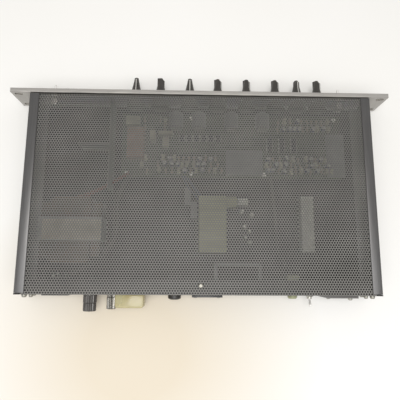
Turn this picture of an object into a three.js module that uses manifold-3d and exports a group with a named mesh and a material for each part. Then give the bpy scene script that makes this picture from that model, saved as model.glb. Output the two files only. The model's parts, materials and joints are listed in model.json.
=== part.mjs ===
// A rack-mounting equalizer, one rack unit high: a thick aluminium front panel with eight pointer
// knobs, two side extrusions with a vented cover slid between them, and a row of connectors behind.
//
// Millimetres. +Z is up, the front panel faces -Y, and +X is to the right of someone facing it.
// The origin is on the surface that the feet stand on, in the middle of the object's width and depth.

import * as THREE from "three";
import { mergeVertices } from "three/addons/utils/BufferGeometryUtils.js";
import Module from "manifold-3d";

const wasm = await Module();
wasm.setup();

// ---- Driving dimensions -------------------------------------------------------------------------

const PANEL = { width: 482.6, height: 43.7, thick: 5.5, bottom: 4 };
const FRONT_REACH = 31.5; // from the panel's rear face to the tips of the knobs
const REAR_REACH = 269.5; // from the panel's rear face to the end of the fuse cap
const BODY = { width: 433.3, depth: 249.3, inset: 1 };
const RAIL = { wall: 2.2, flange: 11.5, lip: 1.2, groove: 1.8, grooveDepth: 5 };
const SHEET = 1.2; // cover and bottom plate
const REAR_SHEET = 1.5;
const REAR_FLANGE = 18; // ledge of the rear panel under the cover
const GAP = 0.3; // between neighbours
const EAR_STEP = 0.3; // the panel is this much thinner between its ears

const RACK_SLOT = { x: 232.55, z: 15.875, length: 10.2, height: 6.4 };
const BUSHING = { r: 4.75, out: 3.2 };
const SHAFT_R = 3;
const POT = { r: 12, depth: 9.5 };
const KNOB = { skirt: 8.5, recess: 6, lift: 1, finWidth: 9.3, finBack: 4.4, finThick: 4.6 };
const TOGGLE = { r: 3, bore: 2.3, out: 4.5, pivot: 1.5, reach: 13.5, tilt: 12 };
const CONTROLS = [
  { x: -155.2, clock: -48 },
  { x: -128, clock: -12 },
  { x: -99, clock: -50 },
  { x: -60.7, clock: -46 },
  { x: -22.4, clock: -60 },
  { x: 14.8, clock: 0 },
  { x: 53.5, clock: -90 },
  { x: 85.8, clock: 0 },
];
const BYPASS_X = -182.7;
const POWER_X = 191.3;

const FUSE = { x: 132.8, r: 8.1, barrel: 10.4, bore: 5.6, capR: 7.8, glassR: 2.6, glassLength: 20 };
const POST = { x: 107, nutR: 5.6, out: 17.6, stud: 2, collar: 3.2 };
const TERMINAL = { x: 84, width: 33.8, height: 22, out: 15.7, wall: 1.6 };
const JACK_BORE = 3.3;
const INPUT_JACK = { x: 30.7, nutR: 7.9, nose: 5, out: 6.2 };
const OUTPUT_JACK = { x: -113.6, nutR: 5.8, nose: 4.6, out: 4.6 };
const SELECTOR = { x: -8.9, width: 36.9, height: 14, out: 3.2, slot: 14, travel: 6 };
const REAR_SWITCH_X = -134.5;
const INLET = { x: 172, width: 31, height: 24, bezel: 1.1, socketWidth: 24.6, socketHeight: 16.6 };
const BALANCED = { x: -171.3, width: 36.6, height: 30, plate: 3.1, taper: 8, bore: 10 };
const COVER_SCREW = { x: -0.8, depth: 238.3, r: 2.6 };
const FOOT = { x: 186, front: 28, rear: 222, r: 8 };

// ---- Places worked out from them ----------------------------------------------------------------

const panelBack = (FRONT_REACH - REAR_REACH) / 2;
const panelFront = panelBack - PANEL.thick;
const behind = (distance) => panelBack + distance;
const rearFace = behind(BODY.depth);
const midZ = PANEL.bottom + PANEL.height / 2;
const bodyTop = PANEL.bottom + PANEL.height - BODY.inset;
const bodyBottom = PANEL.bottom + BODY.inset;
const sheetInset = RAIL.lip + (RAIL.groove - SHEET) / 2;
const coverTop = bodyTop - sheetInset;
const coverUnder = coverTop - SHEET;
const floorUnder = bodyBottom + sheetInset;
const floorTop = floorUnder + SHEET;
const sheetHalf = BODY.width / 2 - RAIL.flange + RAIL.grooveDepth - 2 * GAP;
const boardBottom = floorTop + 6;

// ---- Closed solids, cutting and joining ---------------------------------------------------------

function volumeOf(position, index) {
  const a = new THREE.Vector3();
  const b = new THREE.Vector3();
  const c = new THREE.Vector3();
  let sum = 0;
  for (let i = 0; i < index.length; i += 3) {
    a.fromBufferAttribute(position, index[i]);
    b.fromBufferAttribute(position, index[i + 1]);
    c.fromBufferAttribute(position, index[i + 2]);
    sum += a.dot(b.cross(c));
  }
  return sum / 6;
}

// Shared corners, no collapsed triangles, and faces that point out.
function solid(geometry) {
  const bare = geometry.clone();
  bare.deleteAttribute("normal");
  bare.deleteAttribute("uv");
  const merged = mergeVertices(bare, 1e-4);
  const source = merged.index.array;
  const kept = [];
  for (let i = 0; i < source.length; i += 3) {
    const [a, b, c] = [source[i], source[i + 1], source[i + 2]];
    if (a !== b && b !== c && c !== a) kept.push(a, b, c);
  }
  if (volumeOf(merged.attributes.position, kept) < 0) kept.reverse();
  return new wasm.Manifold(
    new wasm.Mesh({
      numProp: 3,
      vertProperties: new Float32Array(merged.attributes.position.array),
      triVerts: new Uint32Array(kept),
    }),
  );
}

function geometryOf(manifold) {
  const mesh = manifold.getMesh();
  const geometry = new THREE.BufferGeometry();
  geometry.setAttribute("position", new THREE.BufferAttribute(new Float32Array(mesh.vertProperties), 3));
  geometry.setIndex(new THREE.BufferAttribute(new Uint32Array(mesh.triVerts), 1));
  geometry.computeVertexNormals();
  return geometry;
}

const joined = (...pieces) => pieces.reduce((all, piece) => all.add(piece));
const cut = (piece, ...tools) => tools.reduce((rest, tool) => rest.subtract(tool), piece);

function block(x0, x1, y0, y1, z0, z1) {
  const geometry = new THREE.BoxGeometry(x1 - x0, y1 - y0, z1 - z0);
  geometry.translate((x0 + x1) / 2, (y0 + y1) / 2, (z0 + z1) / 2);
  return solid(geometry);
}

// A box centred across X and Z on a point, between two distances along Y.
function slab(x, z, width, height, y0, y1) {
  return block(x - width / 2, x + width / 2, y0, y1, z - height / 2, z + height / 2);
}

// A shape of revolution about a line along Y. Points are [radius, y], starting and ending on the line.
function turned(x, z, points, sides = 20) {
  const profile = points.map(([r, y]) => new THREE.Vector2(r, y));
  const geometry = new THREE.LatheGeometry(profile, sides);
  geometry.translate(x, 0, z);
  return solid(geometry);
}

const rod = (x, z, r, y0, y1, sides = 20) => turned(x, z, [[0, y0], [r, y0], [r, y1], [0, y1]], sides);

// An outline in X and Z, drawn from front to back between two distances along Y.
function plate(shape, y0, y1, curveSegments = 6) {
  const geometry = new THREE.ExtrudeGeometry(shape, {
    depth: y1 - y0,
    bevelEnabled: false,
    curveSegments,
  });
  geometry.rotateX(Math.PI / 2);
  geometry.translate(0, y1, 0);
  return solid(geometry);
}

function outline(points) {
  return new THREE.Shape(points.map(([x, z]) => new THREE.Vector2(x, z)));
}

function slotHole(x, z, length, height) {
  const r = height / 2;
  const reach = length / 2 - r;
  const hole = new THREE.Path();
  hole.absarc(x + reach, z, r, -Math.PI / 2, Math.PI / 2, false);
  hole.absarc(x - reach, z, r, Math.PI / 2, (3 * Math.PI) / 2, false);
  return hole;
}

function roundHole(x, z, r) {
  const hole = new THREE.Path();
  hole.absarc(x, z, r, 0, 2 * Math.PI, true);
  return hole;
}

// ---- Finishes -----------------------------------------------------------------------------------

const FINISH = {
  silver: { color: 0xbdb8b0, roughness: 0.4, metalness: 0.9 },
  rail: { color: 0x2c2b2c, roughness: 0.35, metalness: 0.4 },
  cover: { color: 0x63615d, roughness: 0.5, metalness: 0.5 },
  dark: { color: 0x2f2e2d, roughness: 0.6, metalness: 0.3 },
  knob: { color: 0x1d1c1b, roughness: 0.45, metalness: 0 },
  steel: { color: 0x9a9892, roughness: 0.35, metalness: 0.9 },
  chrome: { color: 0xc8c8c6, roughness: 0.15, metalness: 1 },
  board: { color: 0x4d5a44, roughness: 0.6, metalness: 0 },
  plastic: { color: 0x222222, roughness: 0.5, metalness: 0 },
  amber: { color: 0xc9a84f, roughness: 0.25, metalness: 0, transparent: true, opacity: 0.75 },
  brass: { color: 0x9a8b4f, roughness: 0.4, metalness: 0.9 },
  iron: { color: 0x6b4a38, roughness: 0.6, metalness: 0.4 },
  yellow: { color: 0xa59a3a, roughness: 0.6, metalness: 0 },
  white: { color: 0xd9d7cc, roughness: 0.7, metalness: 0 },
  orange: { color: 0xa6572a, roughness: 0.5, metalness: 0 },
  glass: { color: 0xd8dcd8, roughness: 0.1, metalness: 0, transparent: true, opacity: 0.5 },
  rubber: { color: 0x1a1a1a, roughness: 0.9, metalness: 0 },
};

const equalizer = new THREE.Group();

function add(name, finish, manifold) {
  const mesh = new THREE.Mesh(geometryOf(manifold), new THREE.MeshStandardMaterial(FINISH[finish]));
  mesh.name = name;
  equalizer.add(mesh);
  return mesh;
}

// ---- Case ---------------------------------------------------------------------------------------

function frontPanel() {
  const half = PANEL.width / 2;
  const top = PANEL.bottom + PANEL.height;
  const shape = outline([[-half, PANEL.bottom], [half, PANEL.bottom], [half, top], [-half, top]]);
  for (const x of [-RACK_SLOT.x, RACK_SLOT.x]) {
    for (const z of [midZ - RACK_SLOT.z, midZ + RACK_SLOT.z]) {
      shape.holes.push(slotHole(x, z, RACK_SLOT.length, RACK_SLOT.height));
    }
  }
  for (const { x } of CONTROLS) shape.holes.push(roundHole(x, midZ, BUSHING.r + GAP));
  for (const x of [BYPASS_X, POWER_X]) shape.holes.push(roundHole(x, midZ, TOGGLE.r + GAP));
  const reliefX = BODY.width / 2 + GAP;
  const relief = block(-reliefX, reliefX, panelBack - EAR_STEP, panelBack + 1, PANEL.bottom - 1, top + 1);
  return cut(plate(shape, panelFront, panelBack), relief);
}

// A channel open to the middle, with a groove along each flange for the cover and the bottom plate.
function sideRail(side) {
  const outer = BODY.width / 2;
  const inner = outer - RAIL.flange;
  const grooveEnd = inner + RAIL.grooveDepth;
  const wall = outer - RAIL.wall;
  const half = (bodyTop - bodyBottom) / 2;
  const flange = 2 * RAIL.lip + RAIL.groove;
  const quarter = [
    [outer, half],
    [inner, half],
    [inner, half - RAIL.lip],
    [grooveEnd, half - RAIL.lip],
    [grooveEnd, half - RAIL.lip - RAIL.groove],
    [inner, half - RAIL.lip - RAIL.groove],
    [inner, half - flange],
    [wall, half - flange],
  ];
  const lower = quarter.map(([x, z]) => [x, -z]).reverse();
  const centre = (bodyTop + bodyBottom) / 2;
  const shape = outline([...quarter, ...lower].map(([x, z]) => [side * x, centre + z]));
  return plate(shape, behind(GAP), rearFace - REAR_SHEET - GAP);
}

function topCover() {
  const sheet = block(-sheetHalf, sheetHalf, behind(2 * GAP), rearFace, coverUnder, coverTop);
  const screw = new THREE.CylinderGeometry(1.8, 1.8, 3 * SHEET, 12);
  screw.rotateX(Math.PI / 2);
  screw.translate(COVER_SCREW.x, behind(COVER_SCREW.depth), coverTop);
  return cut(sheet, solid(screw));
}

function bottomPlate() {
  const rearEdge = rearFace - REAR_SHEET - GAP;
  return block(-sheetHalf, sheetHalf, behind(2 * GAP), rearEdge, floorUnder, floorTop);
}

function rearPanel() {
  const half = BODY.width / 2;
  const cornerX = half - RAIL.flange + GAP;
  const shelf = coverUnder - GAP;
  const shape = outline([
    [-half, bodyBottom],
    [half, bodyBottom],
    [half, bodyTop],
    [cornerX + RAIL.grooveDepth, bodyTop],
    [cornerX + RAIL.grooveDepth, shelf],
    [-cornerX - RAIL.grooveDepth, shelf],
    [-cornerX - RAIL.grooveDepth, bodyTop],
    [-half, bodyTop],
  ]);
  const fits = [
    [FUSE.x, FUSE.bore + 1.4],
    [POST.x, POST.stud],
    [INPUT_JACK.x, INPUT_JACK.nose],
    [OUTPUT_JACK.x, OUTPUT_JACK.nose],
    [REAR_SWITCH_X, TOGGLE.r],
  ];
  for (const [x, r] of fits) shape.holes.push(roundHole(x, midZ, r + GAP));
  const back = plate(shape, rearFace - REAR_SHEET, rearFace);
  const ledgeHalf = half - RAIL.flange - 2;
  const ledgeFront = rearFace - REAR_FLANGE;
  const ledge = block(-ledgeHalf, ledgeHalf, ledgeFront, rearFace - REAR_SHEET / 2, shelf - SHEET, shelf);
  const windows = [
    [INLET.x, INLET.socketWidth + 3.2, INLET.socketHeight + 3.2],
    [SELECTOR.x, SELECTOR.slot + 6, 9],
    [TERMINAL.x, TERMINAL.width - 8, 12],
    [BALANCED.x, 2 * BALANCED.bore + 4, 2 * BALANCED.bore + 4],
  ].map(([x, width, height]) => slab(x, midZ, width, height, rearFace - 2 * REAR_SHEET, rearFace + 1));
  const screw = new THREE.CylinderGeometry(1.8, 1.8, 6 * SHEET, 12);
  screw.rotateX(Math.PI / 2);
  screw.translate(COVER_SCREW.x, behind(COVER_SCREW.depth), shelf);
  return cut(joined(back, ledge), ...windows, solid(screw));
}

add("front_panel", "silver", frontPanel());
add("side_rail_left", "rail", sideRail(-1));
add("side_rail_right", "rail", sideRail(1));
add("top_cover", "cover", topCover());
add("bottom_plate", "dark", bottomPlate());
add("rear_panel", "dark", rearPanel());

// A pan-headed screw that stands on its axis along Z.
function coverScrew() {
  const profile = [[0, -7], [1.5, -7], [1.5, GAP], [COVER_SCREW.r, GAP], [2.3, 1.4], [1.2, 1.9], [0, 2]];
  const geometry = new THREE.LatheGeometry(profile.map(([r, y]) => new THREE.Vector2(r, y)), 16);
  geometry.rotateX(Math.PI / 2);
  geometry.translate(COVER_SCREW.x, behind(COVER_SCREW.depth), coverTop);
  const slot = block(-COVER_SCREW.r, COVER_SCREW.r, -0.35, 0.35, 1.2, 3);
  return cut(solid(geometry), slot.translate([COVER_SCREW.x, behind(COVER_SCREW.depth), coverTop]));
}

add("cover_screw", "chrome", coverScrew());

// A rubber foot with a well for its screw.
function foot(x, depth) {
  const height = floorUnder - GAP;
  const { r } = FOOT;
  const profile = [[0, 2.4], [2.6, 2.4], [2.6, 0], [r - 1, 0], [r, 1], [r - 0.6, height], [0, height]];
  const geometry = new THREE.LatheGeometry(profile.map(([w, z]) => new THREE.Vector2(w, z)), 16);
  geometry.rotateX(Math.PI / 2);
  geometry.translate(x, behind(depth), 0);
  return solid(geometry);
}

for (const [side, sign] of [["left", -1], ["right", 1]]) {
  add(`foot_front_${side}`, "rubber", foot(sign * FOOT.x, FOOT.front));
  add(`foot_rear_${side}`, "rubber", foot(sign * FOOT.x, FOOT.rear));
}

// ---- Inside -------------------------------------------------------------------------------------

function mainBoard() {
  return block(-187.7, 103.8, behind(14), behind(101), boardBottom, boardBottom + 1.6);
}

// A thin screen standing on the floor, with a wing towards the mains side.
function shieldPartition() {
  const top = coverUnder - 3;
  const wall = block(114.4, 115.6, behind(3), behind(120), floorTop + GAP, top);
  const wing = block(115, 155, behind(63.4), behind(64.6), floorTop + GAP, top);
  return joined(wall, wing);
}

function mainsTransformer() {
  const core = block(122, 196, behind(138), behind(205), floorTop + 3, floorTop + 27);
  const coil = block(134, 184, behind(133), behind(210), floorTop + 1, floorTop + 30);
  return joined(core, coil);
}

function outputTransformer() {
  const can = block(-33, 2, behind(128), behind(199), floorTop + GAP, floorTop + 26);
  const tail = block(-47, -32, behind(128), behind(141), floorTop + GAP, floorTop + 20);
  return joined(can, tail);
}

add("main_board", "board", mainBoard());
add("shield_partition", "steel", shieldPartition());
add("mains_transformer", "iron", mainsTransformer());
add("output_transformer", "yellow", outputTransformer());
add("power_resistor", "white", block(-144, -128, behind(126), behind(197), floorTop + 4, floorTop + 20));
add("bypass_relay", "orange", block(73, 95, behind(38), behind(78), boardBottom + 1.9, boardBottom + 17));

// ---- Rotary controls ----------------------------------------------------------------------------

// A can behind the panel with a threaded bushing through it, bored for the shaft.
function pot(x) {
  const can = POT.depth + 1;
  const nose = panelFront - BUSHING.out;
  const bore = SHAFT_R + GAP;
  return turned(x, midZ, [
    [0, behind(3)],
    [bore, behind(3)],
    [bore, nose],
    [BUSHING.r, nose],
    [BUSHING.r, behind(1)],
    [POT.r, behind(1)],
    [POT.r, behind(can)],
    [0, behind(can)],
  ], 16);
}

const shaft = (x) => rod(x, midZ, SHAFT_R, panelFront - 14, behind(2.5), 16);

// A flared round skirt that a pointer fin runs up through, with the fin's leading corner cut back.
function knob() {
  const tip = -(FRONT_REACH - PANEL.thick);
  const bodyProfile = [
    [0, -KNOB.lift],
    [KNOB.skirt, -KNOB.lift],
    [KNOB.skirt, -2.8],
    [6.9, -5.5],
    [5.7, -10],
    [4.1, -17.5],
    [2.6, tip],
    [0, tip],
  ];
  const body = turned(0, 0, bodyProfile);
  const lead = KNOB.finWidth - KNOB.finBack;
  const fin = new THREE.Shape();
  fin.moveTo(-KNOB.finBack, -2.5);
  fin.lineTo(lead, -2.5);
  fin.lineTo(lead, tip + 3.6);
  fin.lineTo(lead - 4.1, tip);
  fin.lineTo(-KNOB.finBack + 0.6, tip);
  fin.lineTo(-KNOB.finBack, tip + 0.6);
  fin.closePath();
  const blade = new THREE.ExtrudeGeometry(fin, { depth: KNOB.finThick, bevelEnabled: false });
  blade.translate(0, 0, -KNOB.finThick / 2);
  blade.rotateY(-Math.PI / 2);
  const bore = rod(0, 0, SHAFT_R + GAP, -14.5, 0);
  const recess = rod(0, 0, KNOB.recess, -BUSHING.out - 1, 0);
  return cut(joined(body, solid(blade)), bore, recess);
}

CONTROLS.forEach(({ x, clock }, i) => {
  add(`pot_${i + 1}`, "steel", pot(x));
  add(`shaft_${i + 1}`, "steel", shaft(x));
  const cap = add(`knob_${i + 1}`, "knob", knob());
  cap.position.set(x, panelFront, midZ);
  cap.rotation.y = THREE.MathUtils.degToRad(clock);
});

// ---- Toggle switches ----------------------------------------------------------------------------

// outward is -1 on the front panel and 1 on the rear one; face is the panel's outer face.
function toggleBody(x, face, sheet, outward) {
  const at = (distance) => face + outward * distance;
  const bushing = turned(x, midZ, [
    [0, at(-0.5)],
    [TOGGLE.bore, at(-0.5)],
    [TOGGLE.bore, at(TOGGLE.out)],
    [TOGGLE.r, at(TOGGLE.out)],
    [TOGGLE.r, at(-sheet - 2)],
    [0, at(-sheet - 2)],
  ]);
  const [y0, y1] = [at(-sheet - 10), at(-sheet - 0.8)].sort((a, b) => a - b);
  return joined(bushing, slab(x, midZ, 7, 13, y0, y1));
}

function toggleLever(outward) {
  const length = (TOGGLE.reach - TOGGLE.pivot) / Math.cos(THREE.MathUtils.degToRad(TOGGLE.tilt));
  const root = [[0, -1.2], [0.9, -1.2], [1.1, 0], [1.05, 3]];
  const along = [...root, [1.45, length - 1.4], [1.1, length - 0.3], [0, length]];
  return turned(0, 0, along.map(([r, s]) => [r, outward * s]), 12);
}

function addToggle(name, x, face, sheet, outward) {
  add(`${name}_body`, "steel", toggleBody(x, face, sheet, outward));
  const lever = add(`${name}_lever`, "chrome", toggleLever(outward));
  lever.position.set(x, face + outward * TOGGLE.pivot, midZ);
  lever.rotation.x = outward * THREE.MathUtils.degToRad(TOGGLE.tilt);
}

addToggle("power_switch", POWER_X, panelFront, PANEL.thick, -1);
addToggle("bypass_switch", BYPASS_X, panelFront, PANEL.thick, -1);
addToggle("lift_switch", REAR_SWITCH_X, rearFace, REAR_SHEET, 1);

// ---- Mains side of the rear ---------------------------------------------------------------------

function fuseHolder() {
  const tube = FUSE.bore + 1.4;
  return turned(FUSE.x, midZ, [
    [0, rearFace - 16],
    [FUSE.bore, rearFace - 16],
    [FUSE.bore, rearFace + FUSE.barrel],
    [FUSE.r - 0.5, rearFace + FUSE.barrel],
    [FUSE.r, rearFace + FUSE.barrel - 0.5],
    [FUSE.r, rearFace + GAP],
    [tube, rearFace + GAP],
    [tube, rearFace - 18],
    [0, rearFace - 18],
  ]);
}

const capStart = rearFace + FUSE.barrel + GAP;
const capPlug = capStart - 6;
const capEnd = behind(REAR_REACH);

function fuseCap() {
  const head = turned(FUSE.x, midZ, [
    [0, capPlug],
    [FUSE.bore - 0.4, capPlug],
    [FUSE.bore - 0.4, capStart],
    [FUSE.capR, capStart],
    [FUSE.capR, capEnd - 0.8],
    [FUSE.capR - 0.8, capEnd],
    [0, capEnd],
  ]);
  const grooves = [];
  for (let i = 0; i < 14; i += 1) {
    const angle = (i / 14) * 2 * Math.PI;
    const x = FUSE.x + (FUSE.capR + 0.5) * Math.sin(angle);
    const z = midZ + (FUSE.capR + 0.5) * Math.cos(angle);
    grooves.push(rod(x, z, 1.1, capStart + 1.5, capEnd + 1, 6));
  }
  return cut(head, ...grooves);
}

add("fuse_holder", "plastic", fuseHolder());
add("fuse_cap", "plastic", fuseCap());
const glassEnd = capPlug - GAP;
add("glass_fuse", "glass", rod(FUSE.x, midZ, FUSE.glassR, glassEnd - FUSE.glassLength, glassEnd, 20));

function groundPost() {
  return turned(POST.x, midZ, [
    [0, rearFace - 10],
    [POST.stud, rearFace - 10],
    [POST.stud, rearFace + GAP],
    [POST.nutR - 0.9, rearFace + GAP],
    [POST.nutR - 0.9, rearFace + POST.collar],
    [POST.stud, rearFace + POST.collar],
    [POST.stud, rearFace + POST.out - 3],
    [0, rearFace + POST.out - 3],
  ], 16);
}

function groundNut() {
  const start = rearFace + POST.collar + GAP;
  const end = rearFace + POST.out;
  const nut = rod(POST.x, midZ, POST.nutR, start, end);
  const well = rod(POST.x, midZ, POST.stud + GAP, start - 1, end - 2, 16);
  return cut(nut, well);
}

add("ground_post", "steel", groundPost());
add("ground_nut", "chrome", groundNut());

// A barrier strip: a base with upright ribs between its screws.
function terminalBlock() {
  const base = slab(TERMINAL.x, midZ, TERMINAL.width - 4.4, 17, rearFace + GAP, rearFace + 7);
  const stem = slab(TERMINAL.x, midZ, TERMINAL.width - 9, 11, rearFace - 5, rearFace + 2);
  const ribs = [];
  for (let i = 0; i <= 3; i += 1) {
    const x = TERMINAL.x + (i - 1.5) * ((TERMINAL.width - 6) / 3);
    ribs.push(slab(x, midZ, 1.5, 17, rearFace + 6, rearFace + 12.5));
  }
  return joined(base, stem, ...ribs);
}

function terminalCover() {
  const [w, h] = [TERMINAL.width, TERMINAL.height];
  const y0 = rearFace + GAP;
  const y1 = rearFace + TERMINAL.out;
  const outer = new THREE.Shape();
  const corner = 3;
  outer.moveTo(TERMINAL.x - w / 2, y0);
  outer.lineTo(TERMINAL.x + w / 2, y0);
  outer.lineTo(TERMINAL.x + w / 2, y1 - corner);
  outer.absarc(TERMINAL.x + w / 2 - corner, y1 - corner, corner, 0, Math.PI / 2, false);
  outer.absarc(TERMINAL.x - w / 2 + corner, y1 - corner, corner, Math.PI / 2, Math.PI, false);
  outer.closePath();
  const geometry = new THREE.ExtrudeGeometry(outer, { depth: h, bevelEnabled: false, curveSegments: 5 });
  geometry.translate(0, 0, midZ - h / 2);
  const [iw, ih] = [w - 2 * TERMINAL.wall, h - 2 * TERMINAL.wall];
  return cut(solid(geometry), slab(TERMINAL.x, midZ, iw, ih, y0 - 1, y1 - TERMINAL.wall));
}

add("terminal_block", "plastic", terminalBlock());
add("terminal_cover", "amber", terminalCover());

// The mains socket: a bezel, a recess with rounded upper corners and three blades inside it.
function acInlet() {
  const bezel = slab(INLET.x, midZ, INLET.width, INLET.height, rearFace + GAP, rearFace + GAP + INLET.bezel);
  const shellWidth = INLET.socketWidth + 2.6;
  const shellHeight = INLET.socketHeight + 2.6;
  const shell = slab(INLET.x, midZ, shellWidth, shellHeight, rearFace - 19, rearFace + GAP + 0.5);
  const [hw, hh] = [INLET.socketWidth / 2, INLET.socketHeight / 2];
  const corner = 4.5;
  const mouth = outline(
    [
      [-hw, -hh],
      [hw, -hh],
      [hw, hh - corner],
      [hw - corner, hh],
      [-hw + corner, hh],
      [-hw, hh - corner],
    ].map(([x, z]) => [INLET.x + x, midZ + z]),
  );
  const recess = plate(mouth, rearFace - 16, rearFace + 3);
  const blades = [[-7, -2.5], [7, -2.5], [0, 2]].map(([x, z]) =>
    slab(INLET.x + x, midZ + z, 2, 4, rearFace - 17, rearFace - 4),
  );
  return joined(cut(joined(bezel, shell), recess), ...blades);
}

add("ac_inlet", "plastic", acInlet());

// A slide switch behind a screwed escutcheon: the slider shows through its slot.
function voltageSelector() {
  const face = rearFace + SELECTOR.out;
  const front = slab(SELECTOR.x, midZ, SELECTOR.width, SELECTOR.height, rearFace + GAP, face);
  const box = slab(SELECTOR.x, midZ, SELECTOR.slot + 5, 8.4, rearFace - 9, rearFace + 1);
  const slot = slab(SELECTOR.x, midZ, SELECTOR.slot, 5.6, rearFace - 4, face + 1);
  return cut(joined(front, box), slot);
}

function selectorSlider() {
  const x = SELECTOR.x - SELECTOR.travel / 2;
  const width = SELECTOR.slot - SELECTOR.travel - 2 * GAP;
  const body = slab(x, midZ, width, 5, rearFace - 3.7, rearFace + SELECTOR.out - 1);
  const groove = slab(x, midZ, 1.4, 6, rearFace + SELECTOR.out - 2, rearFace + SELECTOR.out);
  return cut(body, groove);
}

add("voltage_selector", "dark", voltageSelector());
add("selector_slider", "white", selectorSlider());

// ---- Signal side of the rear --------------------------------------------------------------------

// A phone jack: a box behind the sheet, with a threaded nose and its nut through it.
function phoneJack({ x, nutR, nose, out }) {
  const neck = turned(x, midZ, [
    [JACK_BORE, rearFace - 3],
    [nose, rearFace - 3],
    [nose, rearFace + GAP],
    [nutR, rearFace + GAP],
    [nutR, rearFace + out - 1.6],
    [nutR - 0.6, rearFace + out - 1],
    [nose, rearFace + out],
    [JACK_BORE, rearFace + out],
    [JACK_BORE, rearFace - 3],
  ]);
  const housing = slab(x, midZ, 14, 15, rearFace - 24, rearFace - 2.2);
  const well = rod(x, midZ, JACK_BORE, rearFace - 20, rearFace - 1);
  return joined(neck, cut(housing, well));
}

// A round three-pin socket on a plate whose inner end tapers down to the panel.
function balancedOutput() {
  const [left, right] = [BALANCED.x - BALANCED.width / 2, BALANCED.x + BALANCED.width / 2];
  const face = rearFace + BALANCED.plate;
  const plan = outline([
    [left, rearFace + GAP],
    [right + BALANCED.taper, rearFace + GAP],
    [right + BALANCED.taper, rearFace + GAP + 0.4],
    [right, face],
    [left, face],
  ]);
  const geometry = new THREE.ExtrudeGeometry(plan, { depth: BALANCED.height, bevelEnabled: false });
  geometry.translate(0, 0, midZ - BALANCED.height / 2);
  const shell = rod(BALANCED.x, midZ, BALANCED.bore + 1.6, rearFace - 17, rearFace + 1);
  const recess = rod(BALANCED.x, midZ, BALANCED.bore, rearFace - 14, face + 1);
  const pins = [-1, 0, 1].map((i) => {
    const angle = i * 2.1;
    const [x, z] = [BALANCED.x + 5 * Math.sin(angle), midZ - 5 * Math.cos(angle)];
    return rod(x, z, 1.2, rearFace - 15, rearFace - 2.5, 8);
  });
  return joined(cut(joined(solid(geometry), shell), recess), ...pins);
}

add("input_jack", "plastic", phoneJack(INPUT_JACK));
add("output_jack", "brass", phoneJack(OUTPUT_JACK));
add("balanced_output", "cover", balancedOutput());

export default equalizer;
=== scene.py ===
"""Looks for a one-unit rack equalizer: a silver front panel with black pointer knobs, black side rails, a
perforated grey cover with the boards showing faintly under it, and a row of connectors behind.

Shapes are drawn in millimetres and brought to metres when a piece is finished."""

import json
import math
import random

import bmesh
import bpy
from mathutils import Matrix, Vector


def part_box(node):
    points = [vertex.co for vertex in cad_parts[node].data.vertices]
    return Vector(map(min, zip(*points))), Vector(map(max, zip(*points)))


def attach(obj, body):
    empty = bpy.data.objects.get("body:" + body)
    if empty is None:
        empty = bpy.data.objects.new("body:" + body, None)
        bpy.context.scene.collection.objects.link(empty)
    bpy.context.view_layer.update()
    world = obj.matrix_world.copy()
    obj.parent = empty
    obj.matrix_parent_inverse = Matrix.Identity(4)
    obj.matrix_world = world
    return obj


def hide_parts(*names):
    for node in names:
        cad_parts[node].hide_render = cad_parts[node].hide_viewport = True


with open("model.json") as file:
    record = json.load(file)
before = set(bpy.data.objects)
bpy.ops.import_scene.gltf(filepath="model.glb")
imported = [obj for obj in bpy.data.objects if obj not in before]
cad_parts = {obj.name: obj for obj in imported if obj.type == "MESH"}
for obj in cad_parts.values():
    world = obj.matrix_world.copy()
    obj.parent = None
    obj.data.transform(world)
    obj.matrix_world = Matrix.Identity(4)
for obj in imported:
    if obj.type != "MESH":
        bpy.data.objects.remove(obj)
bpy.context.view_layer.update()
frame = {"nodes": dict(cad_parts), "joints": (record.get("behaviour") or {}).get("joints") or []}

MM = 0.001
SHARP = math.radians(38)
FLOOR_SIZE = 6000
FLOOR_SHADOW_SPOT = (0.08, 0.2, 0)  # where the floor's painted shadow is darkest, in metres
VENT_PITCH = 3.175  # the sheet's holes are an eighth of an inch apart, staggered
VENT_ROW = VENT_PITCH * math.sqrt(3) / 2
VENT_RADIUS = 1.2
VENT_SHEET = 0.9  # thickness
VENT_FIRST = (0.8, 2.35)  # across, and behind the front panel, to the middle of one hole
VENT_ROWS_PER_STRIP = 24
VENT_STRIPS = 4
SCALE_SWEEP = 150  # degrees each way from the top of a dial
BALANCED_X = -171.3  # the middle of the round socket
JACK_RADIUS = 3.28  # inside a jack's sleeve


def corners(node):
    """A CAD node's lowest and highest corners, in millimetres."""
    low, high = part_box(node)
    return Vector(low) / MM, Vector(high) / MM


def middle(node):
    low, high = corners(node)
    return (low + high) / 2


JOINTS = {joint["name"]: joint for joint in frame["joints"]}
PANEL_LOW, PANEL_HIGH = corners("front_panel")
REAR_FACE = corners("rear_panel")[1].y
MID_HEIGHT = (PANEL_LOW.z + PANEL_HIGH.z) / 2
COVER_LOW, COVER_HIGH = corners("top_cover")
BOARD_LOW, BOARD_HIGH = corners("main_board")


def pivot(joint):
    """The place of a hinge, in millimetres."""
    return Vector(JOINTS[joint]["pos_m"]) / MM


# ---- Finishes ----


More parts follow.
